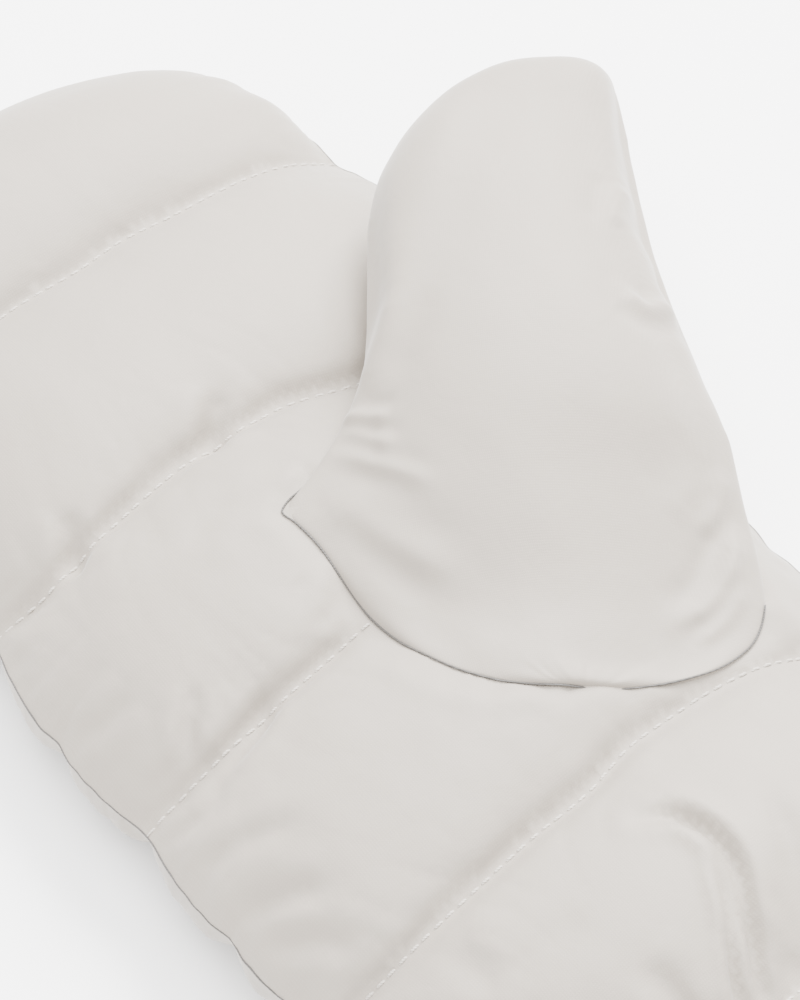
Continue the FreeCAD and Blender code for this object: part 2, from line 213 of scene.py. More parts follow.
def make_mesh(name, points, faces, scale=MM):
    """A mesh object from points in millimetres."""
    mesh = bpy.data.meshes.new(name)
    mesh.from_pydata((np.asarray(points) * scale).tolist(), [], faces)
    mesh.update()
    ob = bpy.data.objects.new(name, mesh)
    bpy.context.scene.collection.objects.link(ob)
    return ob


def coordinates(mesh):
    """Vertex coordinates as an array."""
    co = np.zeros(len(mesh.vertices) * 3)
    mesh.vertices.foreach_get("co", co)
    return co.reshape(-1, 3)


def vertex_group(ob, name, weights):
    """A vertex group with one weight for each vertex."""
    group = ob.vertex_groups.new(name=name)
    for value in np.unique(np.round(weights, 2)):
        if value > 0:
            group.add(np.nonzero(np.round(weights, 2) == value)[0].tolist(), float(value), "REPLACE")
    return group


BIG = 0.02  # scene units for a millimetre while the cloth is simulated


def blow_up(points, faces, pinned, growth, most, pressure, frames, cap):
    """Runs Blender's cloth on a mesh in millimetres and returns the new points.

    growth is a share from 0 to 1 of the most that the cloth outgrows its start.
    """
    ob = make_mesh("cloth_at_work", points, faces, BIG)
    vertex_group(ob, "pin", pinned.astype(float))
    vertex_group(ob, "grow", growth)
    cloth = ob.modifiers.new("cloth", "CLOTH")
    s = cloth.settings
    s.quality = 7
    s.mass = 0.25
    s.tension_stiffness = s.compression_stiffness = 25
    s.shear_stiffness = 12
    s.bending_stiffness = 0.35
    s.tension_damping = s.compression_damping = 8
    s.air_damping = 3
    s.vertex_group_mass = "pin"
    s.pin_stiffness = 1
    s.use_pressure = True
    s.uniform_pressure_force = pressure
    s.shrink_min = 0
    s.shrink_max = -most
    s.vertex_group_shrink = "grow"
    s.effector_weights.gravity = 0
    cloth.point_cache.frame_start = 1
    cloth.point_cache.frame_end = frames
    scene = bpy.context.scene
    for f in range(1, frames + 1):
        scene.frame_set(f)
    moved = ob.evaluated_get(bpy.context.evaluated_depsgraph_get())
    new = coordinates(moved.data) / BIG
    bpy.data.objects.remove(ob)
    scene.frame_set(1)
    step = new - points
    length = np.linalg.norm(step, axis=1, keepdims=True)
    return points + step * np.minimum(1, cap / np.maximum(length, 1e-9))


def build_bag():
    """The hand and the cuff: points, triangles, panel of each triangle, flat places, lines."""
    flat_p, tris_p, kind_p, seam_n = flat_panel(PALM_LINES + ELASTIC)
    flat_b, tris_b, kind_b, _ = flat_panel(BACK_LINES + ELASTIC)
    link = np.arange(len(flat_b)) + len(flat_p)
    link[:seam_n] = np.arange(seam_n)  # the side seam joins the two panels
    points_p = np.column_stack([flat_p, palm_z(*flat_p.T)])
    points_b = np.column_stack([flat_b, back_z(*flat_b.T)])
    points_p[:seam_n, 2] = SEAM_Z
    points = np.concatenate([points_p, points_b])
    faces = tris_p + [tuple(int(link[i]) for i in reversed(t)) for t in tris_b]
    panel = np.array([0] * len(tris_p) + [1] * len(tris_b))
    kind = np.concatenate([kind_p, np.where(kind_b > 0, kind_b + BACK_KIND, kind_b)])
    used = np.unique(np.asarray(faces))
    renumber = -np.ones(len(points), int)
    renumber[used] = np.arange(len(used))
    faces = [tuple(int(renumber[i]) for i in t) for t in faces]
    flat = np.concatenate([flat_p, flat_b])[used]
    return points[used], faces, panel, flat, kind[used]


def near_lines(y, lines, reach):
    """1 at a line, falling to 0 at reach from it."""
    d = np.min(np.abs(y[:, None] - np.array(lines)[None]), 1)
    return np.clip(1 - d / reach, 0, 1)


bag_points, bag_faces, bag_panel, bag_flat, bag_kind = build_bag()
upper = np.zeros(len(bag_points), bool)
upper[np.unique(np.asarray([f for f, p in zip(bag_faces, bag_panel) if p == 0]))] = True
pinned = bag_kind >= 0
gather = near_lines(bag_flat[:, 1], [CUFF_FROM], 26) ** 1.2
grow_share = np.clip(0.05 + 0.07 * near_lines(bag_flat[:, 1], PALM_LINES, 10) + 0.8 * gather, 0, 1)
bag_points = blow_up(
    bag_points, bag_faces, pinned, grow_share, 0.4, pressure=2.0, frames=16, cap=8
)

# The middle of the back settles on the table: below this height it flattens out.
SETTLE = 3
low = bag_points[:, 2] < SETTLE
bag_points[low, 2] = SETTLE * np.exp((bag_points[low, 2] - SETTLE) / SETTLE)


# ---- shaping tools

def lumps(points, size, seed):
    """Smooth noise from -1 to 1 over 3-D points; size is a length, or one for each axis."""
    q = np.asarray(points, float) / size + seed * 17.31
    cell = np.floor(q).astype(np.int64)
    t = q - cell
    t = t * t * (3 - 2 * t)
    total = np.zeros(len(q))
    for corner in range(8):
        step = np.array([corner & 1, corner >> 1 & 1, corner >> 2 & 1])
        at = cell + step
        mixed = (at[:, 0] * 73856093) ^ (at[:, 1] * 19349663) ^ (at[:, 2] * 83492791) ^ (seed * 2654435)
        mixed = (mixed ^ (mixed >> 13)) * 1274126177 & 0xFFFFFFFF
        value = ((mixed ^ (mixed >> 16)) & 0xFFFF) / 32767.5 - 1
        total += value * np.prod(np.where(step, t, 1 - t), 1)
    return total


def to_polyline(points, line):
    """Distance of each point to a polyline, and how far along it the nearest place is, 0 to 1."""
    line = np.asarray(line, float)
    best = np.full(len(points), 1e9)
    along = np.zeros(len(points))
    lengths = np.linalg.norm(np.diff(line, axis=0), axis=1)
    starts = np.concatenate([[0], np.cumsum(lengths)])
    for i, (p, q) in enumerate(zip(line[:-1], line[1:])):
        t = np.clip((points - p) @ (q - p) / max(lengths[i] ** 2, 1e-9), 0, 1)
        d = np.linalg.norm(points - (p + t[:, None] * (q - p)), axis=1)
        closer = d < best
        best[closer] = d[closer]
        along[closer] = (starts[i] + t[closer] * lengths[i]) / starts[-1]
    return best, along


def curve(line, n=24):
    """A smooth curve through a few points."""
    line = np.asarray(line, float)
    run = run_along(line)
    at = np.linspace(0, run[-1], n)
    return np.stack([smooth_table(run, line[:, k], at) for k in range(line.shape[1])], 1)


def folds(points, creases):
    """How far each point moves outwards for a list of creases: (depth, width, polyline)."""
    total = np.zeros(len(points))
    for depth, width, line in creases:
        d, t = to_polyline(points, curve(line))
        fade = np.clip(np.minimum(t, 1 - t) * 4 + 0.15, 0, 1)
        groove = -np.exp(-((d / width) ** 2)) + 0.45 * np.exp(-(((d - 2.1 * width) / (1.2 * width)) ** 2))
        total += depth * fade * groove
    return total


# Creases in the palm panel, on the flat pattern.
PALM_CREASES = [
    (1.0, 1.7, [(-43.5, -2.6), (-37.5, -1.6), (-30.5, 1.8)]),
    (0.7, 1.6, [(-55.5, -4.2), (-50, -5.6), (-43.5, -3.2)]),
    (0.6, 1.5, [(-52.3, 2.5), (-47.5, 3.8), (-41.8, 7.8)]),
    (0.7, 1.5, [(-46.3, 1.6), (-43.5, 5.2), (-38.5, 10.4)]),
    (0.6, 1.8, [(-56, 20.6), (-52.5, 17.4), (-46.5, 17.0)]),
    (1.0, 1.9, [(-55.4, -22.4), (-51.5, -24.5), (-44.1, -30.3)]),
    (0.8, 1.7, [(-55.6, -27.5), (-51.0, -33.0), (-45.7, -39.8)]),
    (0.6, 1.8, [(-55.5, -12.0), (-49.0, -14.5), (-41.0, -20.0)]),
    (0.6, 1.2, [(-10.2, 15.2), (-14.6, 11.6), (-19.0, 10.4)]),
    (0.6, 1.2, [(-10.3, 8.6), (-14.6, 4.6), (-19.3, 4.8)]),
    (0.5, 1.0, [(-10.4, 3.4), (-13.2, 1.4), (-17.0, 2.4)]),
    (1.0, 1.9, [(-12.4, -5.0), (-11.6, -12.0), (-7.5, -20.5), (-2.0, -27.0)]),
    (0.5, 2.4, [(-10, 27.2), (-18, 30.5), (-27, 29.0)]),
    (0.6, 3.2, [(-36.3, -60.0), (-28.6, -60.1), (-20.2, -62.0)]),
    (0.6, 2.4, [(-38.9, -49.5), (-37.5, -54.8), (-36.8, -60.6)]),
    (2.3, 1.3, [
        (-4.3, -55.2), (0.5, -58.6), (2.4, -63.9), (1.6, -69.5), (-1.0, -74.5), (-4.4, -80.5),
        (-7.8, -87.0),
    ]),
    (1.9, 1.0, [(0.2, -66.4), (-1.9, -71.0), (-4.8, -75.8), (-8.4, -80.5), (-11.5, -87.0)]),
    (0.9, 2.2, [(14.0, -64.0), (12.0, -70.0), (8.0, -77.0), (6.0, -85.0)]),
    (0.9, 2.2, [(29.0, -66.0), (25.0, -74.0), (23.5, -84.0)]),
    (0.9, 2.2, [(43.0, -66.0), (38.0, -74.0), (33.5, -84.0)]),
    (0.8, 2.2, [(-20.0, -72.0), (-18.0, -78.0), (-19.5, -85.0)]),
    (1.0, 1.9, [(-41.0, 42.0), (-38.6, 46.5), (-35.0, 51.0)]),
    (1.2, 1.9, [(-11.4, 42.6), (-7.5, 47.0), (-3.0, 51.0)]),
]


def pucker_field(flat, lines, width, seed):
    """Small creases that run out of each seam of a panel, outwards positive."""
    x, y = flat.T
    total = np.zeros(len(flat))
    for i, line in enumerate(lines):
        d = np.abs(y - line)
        start = 1 - np.exp(-((d / 1.6) ** 2))
        side = np.where(y > line, 1.0, 0.0)
        at = np.stack([x, 0.3 * (y - line), 40.0 * side + 7 * i], 1)
        reach = 5.5 + 2.5 * lumps(np.stack([x, 0 * x, 0 * x + i], 1), 11, seed + 3)
        much = 0.35 if line > 80 else 1.0
        leaning = at + [0, 0, 0.5] + (0.4 * (y - line) * np.sin(x / 9 + 2 * i))[:, None] * [1, 0, 0]
        sharp = (1 - np.abs(lumps(leaning, (3.6, 3.0, 1), seed + 7))) ** 5
        total += 0.3 * much * start * np.exp(-d / reach) * lumps(at, (4.2, 3.8, 1), seed)
        total -= 0.5 * much * (1 - np.exp(-((d / 3.4) ** 2))) * np.exp(-d / (1.5 * reach)) * sharp
        total += 0.70 * much * start * np.exp(-d / (1.8 * reach)) * lumps(at, (8.5, 7.5, 1), seed + 1)
    edge = np.maximum(width - np.abs(x), 0)
    start = 1 - np.exp(-((edge / 1.6) ** 2))
    at = np.stack([0.3 * edge, y, 30 * np.sign(x)], 1)
    total += 0.55 * start * np.exp(-edge / 5.5) * lumps(at, (3, 3.4, 1), seed + 4)
    total += 0.7 * start * np.exp(-edge / 10) * lumps(at, (5, 8, 1), seed + 5)
    total -= 0.5 * start * np.exp(-edge / 9) * (1 - np.abs(lumps(at, (3, 4.4, 1), seed + 8))) ** 5
    return total


def bag_line_gap(y):
    """Distance along the mitten from each place to the nearest quilt line of the palm."""
    return np.min(np.abs(np.asarray(y)[:, None] - np.array(PALM_LINES)), 1)


def subdivided(points, faces, creases, levels=1, tags=None):
    """Subdivides a mesh: new points in millimetres, new faces, their tags, and normals."""
    ob = make_mesh("being_divided", points, faces)
    if tags is not None:
        ob.data.polygons.foreach_set("material_index", tags)
    if creases is not None:
        layer = ob.data.attributes.new("crease_edge", "FLOAT", "EDGE")
        ends = np.zeros(len(ob.data.edges) * 2, np.int64)
        ob.data.edges.foreach_get("vertices", ends)
        layer.data.foreach_set("value", creases(ends.reshape(-1, 2)).astype(np.float32))
    mod = ob.modifiers.new("smooth", "SUBSURF")
    mod.levels = mod.render_levels = levels
    mesh = bpy.data.meshes.new_from_object(ob.evaluated_get(bpy.context.evaluated_depsgraph_get()))
    co = coordinates(mesh) / MM
    new_faces = [tuple(f.vertices) for f in mesh.polygons]
    new_tags = np.zeros(len(new_faces), np.int32)
    mesh.polygons.foreach_get("material_index", new_tags)
    normal = np.zeros(len(co) * 3)
    mesh.vertices.foreach_get("normal", normal)
    bpy.data.objects.remove(ob)
    return co, new_faces, new_tags, normal.reshape(-1, 3)


def smooth_piece(name, points, faces, uv):
    """A smooth-shaded piece with texture coordinates in tenths of a metre."""
    ob = make_mesh(name, points, faces)
    mesh = ob.data
    layer = mesh.uv_layers.new(name="cloth")
    loops = np.zeros(len(mesh.loops), np.int64)
    mesh.loops.foreach_get("vertex_index", loops)
    layer.data.foreach_set("uv", (np.asarray(uv)[loops] * 0.01).ravel())
    mesh.polygons.foreach_set("use_smooth", [True] * len(mesh.polygons))
    return ob


# ---- the thumb, in its own frame: along it, across it, and up

ROOT = np.array([16.0, -11.0, 40.0])
SPLAY, PITCH = math.radians(36), math.radians(6)
ALONG = np.array([math.sin(SPLAY) * math.cos(PITCH), math.cos(SPLAY) * math.cos(PITCH), math.sin(PITCH)])
ACROSS = np.array([math.cos(SPLAY), -math.sin(SPLAY), 0.0])
UP = np.cross(ACROSS, ALONG)

# along the thumb: left edge, right edge, height above and below the axis, roundness on the left
THUMB = [
    (-23.4, 0, 7, 0.6, 3, 2.0),
    (-22.6, -7, 14, 3.2, 4, 2.0),
    (-20.0, -14.5, 22.5, 6.6, 5, 2.0),
    (-15.0, -21.5, 30.0, 10.2, 6, 1.9),
    (-8.0, -28.0, 34.0, 13.4, 6, 1.75),
    (0.0, -33.2, 34.4, 15.8, 7, 1.6),
    (6.5, -37.4, 33.6, 17.3, 8, 1.45),
    (10.0, -40.4, 32.8, 17.8, 8.5, 1.4),
    (12.4, -42.4, 32.4, 18.3, 9, 1.35),
    (14.8, -40.0, 32.0, 18.7, 9, 1.45),
    (19.0, -36.4, 31.2, 19.2, 10, 1.7),
    (25.0, -32.2, 29.6, 19.7, 11.5, 1.95),
    (32.0, -28.8, 27.6, 20.0, 13.5, 2.1),
    (42.0, -27.0, 24.6, 20.0, 15, 2.3),
    (54.0, -26.2, 21.8, 19.5, 15.5, 2.3),
    (66.0, -25.4, 20.2, 18.6, 15.5, 2.3),
    (76.0, -22.4, 19.2, 16.8, 15, 2.3),
    (84.0, -17.0, 19.2, 14.4, 13.5, 2.2),
    (90.4, -10.4, 19.0, 11.4, 11, 2.1),
    (94.2, -4.4, 17.8, 7.8, 7.5, 2.0),
    (95.8, 0.6, 14.8, 3.6, 3.4, 2.0),
    (96.3, 7.2, 8.2, 0.4, 0.4, 2.0),
]

# Creases in the top of the thumb, in its own frame: along it and across it.
THUMB_CREASES = [
    (0.9, 2.4, [(12.0, -39.0), (8.7, -32.2), (2.7, -25.3), (-4.1, -16.3)]),
    (0.5, 2.4, [(8.9, -36.9), (-0.2, -30.3), (-9.2, -21.3)]),
    (0.8, 1.2, [(27.0, -31.5), (24.5, -28.5), (23.0, -25.5)]),
    (0.55, 1.1, [(24.5, -32.5), (20.5, -28.5), (17.5, -25.0)]),
    (0.45, 1.3, [(20.0, -33.5), (15.5, -28.0), (10.0, -19.5)]),
    (0.7, 2.2, [(46.0, -22.2), (39.9, -24.5), (34.0, -26.8), (29.0, -27.6)]),
    (1.5, 1.9, [(6.3, 32.4), (-2.2, 30.0), (-8.6, 26.0), (-12.3, 20.2)]),
    (1.2, 1.5, [(-3.8, 33.0), (-10.1, 29.4), (-15.4, 23.8)]),
    (0.7, 1.5, [(14.8, 31.0), (8.1, 29.4), (2.4, 25.8)]),
    (0.8, 1.7, [(66.0, 19.0), (60.7, 17.4), (55.6, 17.0)]),
    (1.0, 1.7, [(43.6, 24.5), (40.4, 21.1), (42.2, 17.2)]),
    (0.5, 3.0, [(4.2, 21.4), (9.6, 25.9), (13.2, 30.3)]),
]


def to_hand(points):
    """Points in the thumb's frame, moved to the mitten's frame."""
    points = np.asarray(points, float)
    return ROOT + points[:, :1] * ALONG + points[:, 1:2] * ACROSS + points[:, 2:] * UP


palm_top = bag_points[upper & (np.abs(bag_points[:, 0]) < 62)]


def palm_under(xy):
    """Height of the palm's cloth at places seen from above."""
    out = []
    for part in np.array_split(np.asarray(xy), 8):
        d = np.hypot(part[:, None, 0] - palm_top[None, :, 0], part[:, None, 1] - palm_top[None, :, 1])
        near = np.argsort(d, 1)[:, :8]
        w = 1 / (np.take_along_axis(d, near, 1) + 0.5) ** 2
        out.append((palm_top[near, 2] * w).sum(1) / w.sum(1))
    return np.concatenate(out)


def build_thumb():
    """The thumb in its own frame: its rings of points, its faces, and the run of each ring."""
    table = np.array(THUMB)
    run = np.concatenate([[0], np.cumsum(np.hypot(*np.diff(table[:, [0, 3]], axis=0).T))])
    n_ring, n_turn = 66, 76
    at = np.linspace(0, run[-1], n_ring)
    column = [smooth_table(run, table[:, i], at) for i in range(6)]
    rings = []
    a = np.linspace(0, 2 * np.pi, n_turn, endpoint=False)
    c, u = np.cos(a), np.sin(a)
    for along, left, right, rise, drop, round_left in zip(*column):
        round_right = float(np.interp(along, [-20, 0, 30], [1.5, 1.6, 2.2]))
        square = np.where(u > 0, np.where(c < 0, round_left, round_right), 2.2)
        across = np.sign(c) * np.abs(c) ** (2 / square)
        up = np.sign(u) * np.abs(u) ** (2 / square)
        wide = (right - left) / 2
        rings.append(np.stack([
            np.full(n_turn, along), (left + right) / 2 + wide * across, np.where(u > 0, rise, drop) * up,
        ], 1))
    return np.array(rings), tube(n_ring, n_turn, capped=True), at


rings, thumb_faces, thumb_run = build_thumb()
thumb_local = rings.reshape(-1, 3)
thumb_points = to_hand(thumb_local)

# The root of the thumb follows the palm along its seam: both edges of a ring come down to it.
n_turn = rings.shape[1]
left_edge, right_edge = to_hand(rings[:, n_turn // 2]), to_hand(rings[:, 0])
left_z, right_z = palm_under(left_edge[:, :2]), palm_under(right_edge[:, :2])
soften = np.ones(7) / 7
left_z = np.convolve(np.pad(left_z, 3, "edge"), soften, "valid")
right_z = np.convolve(np.pad(right_z, 3, "edge"), soften, "valid")
left_gap = left_z - 1.0 - left_edge[:, 2]
right_gap = np.maximum(right_z, 22) - 1.0 - right_edge[:, 2]
left_hold = np.clip((34 - rings[:, 0, 0]) / 16, 0, 1) ** 2
right_hold = np.clip((20 - rings[:, 0, 0]) / 30, 0, 1)
share = (np.cos(np.linspace(0, 2 * np.pi, n_turn, endpoint=False)) + 1) / 2
shift = (1 - share)[None] * (left_gap * left_hold)[:, None] + share[None] * (right_gap * right_hold)[:, None]
thumb_points[:, 2] += shift.ravel()
held = (thumb_local[:, 2] < 0.8) | (thumb_local[:, 0] < -22)
thumb_points = blow_up(
    thumb_points, thumb_faces, held, np.full(len(thumb_points), 0.03), 0.4,
    pressure=1.2, frames=12, cap=4,
)

# The cloth is taut: what the simulation crumples is eased out, most of all at the tip.
grid = thumb_points.reshape(rings.shape).copy()
free = (np.clip(rings[:, :, 2] / 3, 0, 1) * np.clip((rings[:, :, 0] + 22) / 4, 0, 1))[:, :, None]
for _ in range(14):
    around = (np.roll(grid, 1, 1) + np.roll(grid, -1, 1)) / 2
    lengthwise = grid.copy()
    lengthwise[1:-1] = (grid[2:] + grid[:-2]) / 2
    grid += 0.5 * free * ((around + lengthwise) / 2 - grid)
thumb_points = grid.reshape(-1, 3)

# The seam of the gusset, where it meets the palm, from its apex round to the right.
seam_rings = [i for i in range(len(rings)) if rings[i, 0, 0] < 30]
left_seam = thumb_points.reshape(rings.shape)[seam_rings, n_turn // 2]
right_seam = thumb_points.reshape(rings.shape)[[i for i in seam_rings if rings[i, 0, 0] < 22], 0]
gusset_seam = np.concatenate([left_seam[::-1], right_seam])
from_apex = int(np.sum(rings[seam_rings, 0, 0] > 20))
seam_end = len(left_seam) + int(np.sum(rings[seam_rings, 0, 0] < -6))
seen_seam = gusset_seam[from_apex:seam_end]

# ---- the bag's cloth, subdivided, creased and cut into its panels

def bag_creases(ends):
    """How sharp each edge stays: the quilt lines and the side seam."""
    a, b = bag_kind[ends[:, 0]], bag_kind[ends[:, 1]]
    row = (a > 0) & (a == b)
    return np.where(row, 0.85, np.where((a == 0) & (b == 0), 0.8, 0.0))


fine, fine_faces, fine_panel, fine_normal = subdivided(bag_points, bag_faces, bag_creases, 1, bag_panel)
flat_3d = np.column_stack([bag_flat, np.zeros(len(bag_flat))])
fine_flat = subdivided(flat_3d, bag_faces, bag_creases)[0][:, :2]
on_palm = np.zeros(len(fine), bool)
on_back = np.zeros(len(fine), bool)
for face, panel in zip(fine_faces, fine_panel):
    (on_back if panel else on_palm)[list(face)] = True
inside_panel = ~(on_palm & on_back)
edge_width = half_width(fine_flat[:, 1])
side = side_points()[::2]
edge, _ = to_polyline(fine_flat, np.concatenate([side, (side * [-1, 1])[::-1]]))
seam_d, _ = to_polyline(fine, gusset_seam)
clear = 1 - np.exp(-((seam_d / 7) ** 2))
move = np.zeros(len(fine))
for where, lines, creases, seed in (
    (on_palm, PALM_LINES, PALM_CREASES, 3),
    (on_back, BACK_LINES, [], 23),
):
    flat_here = fine_flat[where]
    amount = pucker_field(flat_here, lines, edge_width[where], seed)
    for line in lines:  # the cloth dips into each line of stitches
        deep = 0.45 if line > 80 else 1.0
        past = flat_here[:, 1] - line
        dip = -1.1 * np.exp(-((past / 2.0) ** 2))
        overhang = np.where(past > 0, (past / 6) ** 2 * np.exp(2 - past / 3), 0)
        amount += deep * (dip + 0.6 * overhang) * np.clip(edge[where] / 6, 0, 1)
    if creases:
        amount += folds(flat_here, creases)
    move[where] = amount * clear[where]
gathers = np.clip((-72 - fine_flat[:, 1]) / 12, 0, 1) * np.clip((fine_flat[:, 1] + 116) / 14, 0, 1)
in_fold = fine_flat * [1, 0.22]
move += gathers * (0.9 * lumps(np.pad(in_fold, ((0, 0), (0, 1))), 2.6, 41) + 0.5 * lumps(fine, 4.5, 42))
move += 0.28 * lumps(fine, 15, 5) + 0.12 * lumps(fine, 6.5, 6)
quiet = np.clip(fine[:, 2] / 4, 0.25, 1)  # the cloth is pressed smooth where it lies on the table
move -= np.where(on_palm, 1.3 * np.exp(-((seam_d / 2.2) ** 2)), 0)
near_seam = np.where(on_palm, np.exp(-seam_d / 7) * (1 - np.exp(-((seam_d / 2) ** 2))), 0)
move += 0.7 * near_seam * lumps(fine, 4.2, 8)
fine = fine + fine_normal * (move * inside_panel * quiet)[:, None]

# Under the thumb the palm's cloth stops at the seam: it is kept out of sight there.
ring_x, ring_y = gusset_seam[:, 0], gusset_seam[:, 1]
next_x, next_y = np.roll(ring_x, -1), np.roll(ring_y, -1)
crossings = np.zeros(len(fine), int)
for x0, y0, x1, y1 in zip(ring_x, ring_y, next_x, next_y):
    spans = (fine[:, 1] > y0) != (fine[:, 1] > y1)
    cross_x = x0 + (fine[:, 1] - y0) * (x1 - x0) / (y1 - y0 if y1 != y0 else 1e-9)
    crossings += spans & (fine[:, 0] < cross_x)
under_thumb = on_palm & (crossings % 2 == 1)
along_thumb = np.clip((4 - (fine - ROOT) @ ALONG) / 8, 0, 1)
fine[:, 2] -= np.where(under_thumb, 3.5 * along_thumb * (1 - np.exp(-((seam_d / 4.0) ** 2))), 0)

# The palm's cloth is drawn up to the edge of the gusset, so that no gap shows between them.
from_seam, seam_t = to_polyline(fine[:, :2], seen_seam[:, :2])
seam_steps = np.linalg.norm(np.diff(seen_seam[:, :2], axis=0), axis=1)
run_share = np.concatenate([[0], np.cumsum(seam_steps)]) / seam_steps.sum()
short = np.clip(np.interp(seam_t, run_share, seen_seam[:, 2]) + 0.15 - fine[:, 2], 0, 5)
fine[:, 2] += np.where(on_palm & (fine[:, 2] > 24), short * np.exp(-((from_seam / 4.0) ** 2)), 0)

# The side seam is a sharp valley: the palm falls to it, and the back puffs out past it.
out_x, out_y = fine_flat[:, 0] / 57, np.maximum(fine_flat[:, 1] - TIP_START, 0) / (TIP - TIP_START)
far = np.maximum(np.hypot(out_x, out_y), 1e-6)
outwards = np.stack([out_x / far, out_y / far, 0 * far], 1)
hump = np.where(on_palm, edge / 5 * np.exp(1 - edge / 5), edge / 6 * np.exp(1 - edge / 6))
hump *= np.clip((104 - fine_flat[:, 1]) / 16, 0, 1)
puff_out = 1.0 + 1.9 * bulge(fine_flat[:, 1], BACK_LINES)
push = np.where(on_palm & inside_panel, -1.1 * hump, puff_out * hump) - 0.9 * np.exp(-((edge / 1.6) ** 2))
fine = fine + outwards * push[:, None]
fine[:, 2] -= np.where(on_palm, 1.2 * hump, 0)
long_middle = np.clip((60 - np.abs(fine_flat[:, 1] + 5)) / 30, 0, 1)
fine[:, 0] -= 2.4 * long_middle * np.clip((-fine_flat[:, 0] - 30) / 27, 0, 1)

# The quilt lines aren't quite straight.
x, y = fine_flat.T
bend_2 = -5.0 * np.clip((x + 8) / 26, 0, 1) ** 1.6 - 2.0 * np.clip((-8 - x) / 45, 0, 1)
bend_4 = 3.2 * np.exp(-(((x - 16) / 22) ** 2)) - 1.5 * np.exp(-(((x - 52) / 20) ** 2))
wander = 0.35 * np.sin(x / 5.2 + 1.3 * np.sin(x / 11)) * np.exp(-((bag_line_gap(y) / 8) ** 2))
still = np.clip(edge / 10, 0, 1)
fine[:, 1] += np.where(
    on_palm,
    still * (bend_2 * np.exp(-(((y - 45) / 17) ** 2)) + bend_4 * np.exp(-(((y + 45) / 15) ** 2)) + wander),
    0,
)
fine[:, 2] = np.maximum(fine[:, 2], 0.12)

face_y = np.array([fine_flat[list(f), 1].mean() for f in fine_faces])


def cut_out(name, keep):
    """One panel of the bag: the faces that keep says, with their own points."""
    faces = [f for f, k in zip(fine_faces, keep) if k]
    used = np.unique(np.asarray(faces))
    new = -np.ones(len(fine), int)
    new[used] = np.arange(len(used))
    return smooth_piece(name, fine[used], [tuple(int(new[i]) for i in f) for f in faces], fine_flat[used])


palm_cloth = cut_out("palm_cloth", (fine_panel == 0) & (face_y > CUFF_FROM))
back_cloth = cut_out("back_cloth", (fine_panel == 1) & (face_y > CUFF_FROM))
cuff_palm = cut_out("cuff_palm_cloth", (fine_panel == 0) & (face_y <= CUFF_FROM))
cuff_back = cut_out("cuff_back_cloth", (fine_panel == 1) & (face_y <= CUFF_FROM))

thumb_uv = np.column_stack([thumb_local[:, 1] + 0.6 * thumb_local[:, 2], np.repeat(thumb_run, n_turn)])
thumb_frame = np.column_stack([thumb_uv, np.zeros(len(thumb_uv))])
thumb_fine, thumb_fine_faces, _, thumb_normal = subdivided(thumb_points, thumb_faces, None, 2)
thumb_fine_uv = subdivided(thumb_frame, thumb_faces, None, 2)[0][:, :2]
local_fine = subdivided(thumb_local, thumb_faces, None, 2)[0]
tip_part = np.clip((local_fine[:, 0] - 30) / 20, 0, 1)
from_groove = np.abs(local_fine[:, 2])
right_side = np.clip((local_fine[:, 1] - 4) / 9, 0, 1) * np.clip((90 - local_fine[:, 0]) / 10, 0, 1)
side_pucker = right_side * np.exp(-from_groove / 5) * (1 - np.exp(-((from_groove / 1.5) ** 2)))
thumb_move = folds(local_fine[:, :2], THUMB_CREASES) * np.clip(local_fine[:, 2] / 5, 0, 1)
thumb_move += 0.22 * lumps(local_fine, 16, 31) + 0.08 * lumps(local_fine, 6, 32)
thumb_move += 0.55 * tip_part * side_pucker * lumps(local_fine, (4.5, 9, 9), 33)
thumb_move -= 0.9 * right_side * tip_part * np.exp(-((from_groove / 1.1) ** 2))
root_d, _ = to_polyline(thumb_fine, gusset_seam)
thumb_move += 0.45 * np.exp(-root_d / 5) * (1 - np.exp(-((root_d / 2) ** 2))) * lumps(thumb_fine, 4.6, 34)
thumb_fine = thumb_fine + thumb_normal * thumb_move[:, None]
thumb_cloth = smooth_piece("thumb_cloth", thumb_fine, thumb_fine_faces, thumb_fine_uv)

# ---- stitches and seams

def stitch_row(path, normals, pitch=2.5, gap=0.45, radius=0.28, lift=0.16):
    """Dashes of thread along a path in millimetres, each sunk at both ends."""
    path = np.asarray(path, float)
    run = run_along(path)
    sides, steps = 6, 7
    t = np.linspace(-1, 1, steps)
    high = lift * (1 - t**4) - 0.3 * t**6
    thick = radius * (1 - 0.45 * t**4)
    dash = tube(steps, sides, capped=True)
    points, faces = [], []
    for i in range(int(run[-1] / pitch)):
        slide = 0.12 * math.sin(i * 2.3)
        s = np.linspace(i * pitch + slide, (i + 1) * pitch - gap + slide, steps)
        mid = np.stack([np.interp(s, run, path[:, k]) for k in range(3)], 1)
        up = unit(np.stack([np.interp(s, run, normals[:, k]) for k in range(3)], 1))
        side = np.cross(unit(np.gradient(mid, axis=0)), up)
        start = len(points)
        faces += [tuple(start + k for k in face) for face in dash]
        for j in range(steps):
            for k in range(sides):
                a = 2 * math.pi * k / sides
                wide = thick[j] * (1 + 0.12 * math.sin(9 * t[j] + 2 * a))
                points.append(mid[j] + up[j] * (high[j] + wide * math.sin(a)) + side[j] * wide * math.cos(a))
    return points, faces


def fine_row(y, panel):
    """The fine points along one quilt line of a panel, from left to right, and their normals."""
    chosen = (np.abs(fine_flat[:, 1] - y) < 0.02) & panel
    order = np.argsort(fine_flat[chosen, 0])
    return fine[chosen][order], fine_normal[chosen][order]


